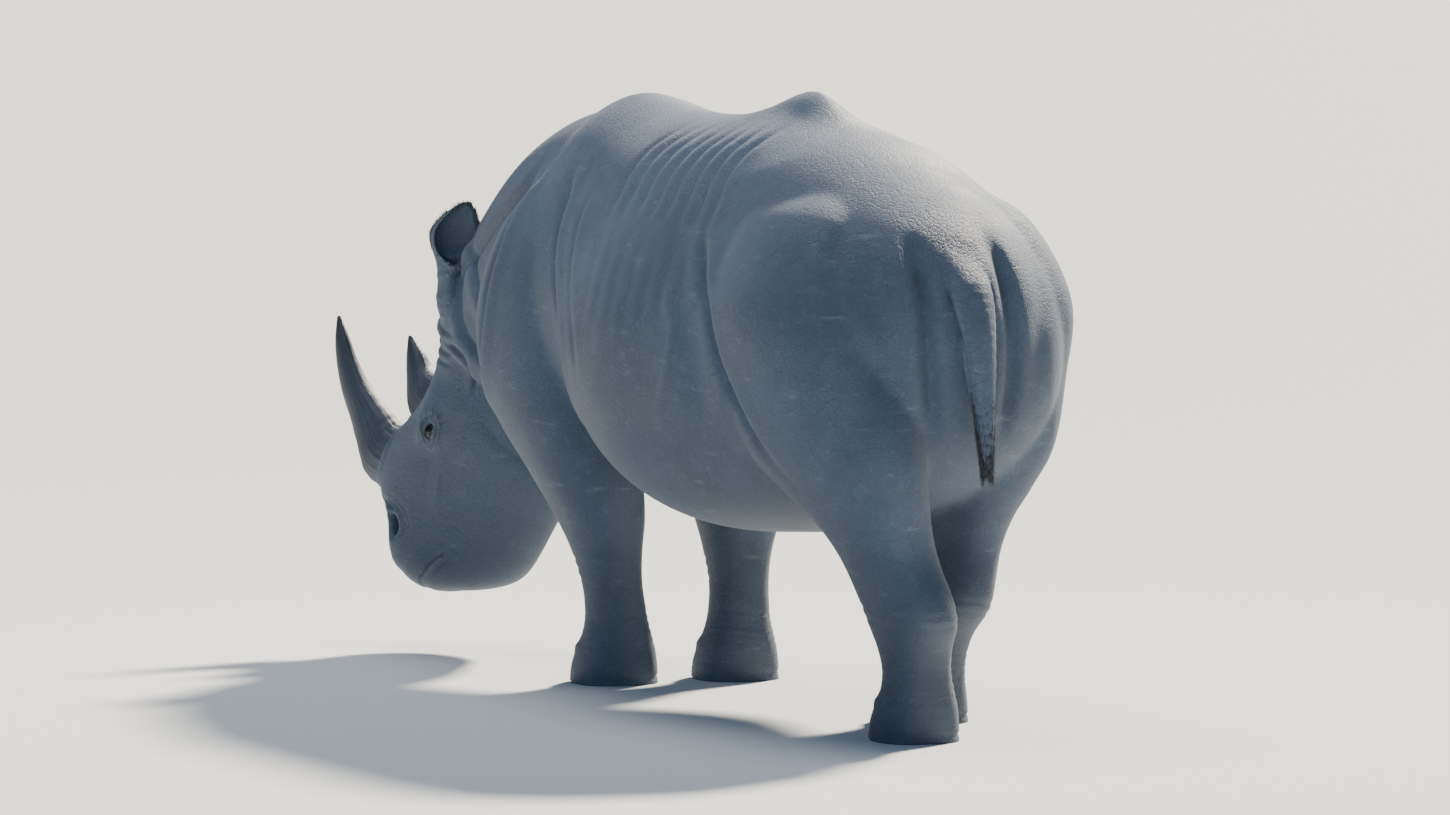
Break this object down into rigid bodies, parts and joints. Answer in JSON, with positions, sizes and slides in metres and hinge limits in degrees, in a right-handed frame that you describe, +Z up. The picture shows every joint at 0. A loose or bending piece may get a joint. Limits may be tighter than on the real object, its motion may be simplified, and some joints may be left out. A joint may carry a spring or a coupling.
{
  "type": "rhinoceros",
  "caption": "Life-size adult white rhinoceros standing with its head lowered to graze, as a still museum-style model on flat soles.",
  "frame": {"origin": "middle of the footprint of the whole animal, on the ground under the soles", "axes": "the animal faces -Y, its left side is +X, +Z is up"},
  "size_m": [1.1388, 3.5764, 1.7783],
  "materials": {
    "hide": "thick wrinkled grey hide, dry and dusty, nearly bare of hair",
    "horn": "fibrous dark grey keratin, rubbed smoother towards the tip",
    "nail": "worn grey-brown keratin",
    "eyeball": "wet dark brown"
  },
  "bodies": {
    "root": {"trunk": "hide", "neck": "hide", "head": "hide", "lower_jaw": "hide", "ear_left": "hide", "ear_right": "hide", "tail": "hide", "horn_front": "horn", "horn_rear": "horn", "eye_left": "eyeball", "eye_right": "eyeball", "leg_front_left_upper": "hide", "leg_front_left_lower": "hide", "foot_front_left": "hide", "toenail_front_left_1": "nail", "toenail_front_left_2": "nail", "toenail_front_left_3": "nail", "leg_front_right_upper": "hide", "leg_front_right_lower": "hide", "foot_front_right": "hide", "toenail_front_right_1": "nail", "toenail_front_right_2": "nail", "toenail_front_right_3": "nail", "leg_hind_left_upper": "hide", "leg_hind_left_lower": "hide", "foot_hind_left": "hide", "toenail_hind_left_1": "nail", "toenail_hind_left_2": "nail", "toenail_hind_left_3": "nail", "leg_hind_right_upper": "hide", "leg_hind_right_lower": "hide", "foot_hind_right": "hide", "toenail_hind_right_1": "nail", "toenail_hind_right_2": "nail", "toenail_hind_right_3": "nail"}
  },
  "joints": []
}
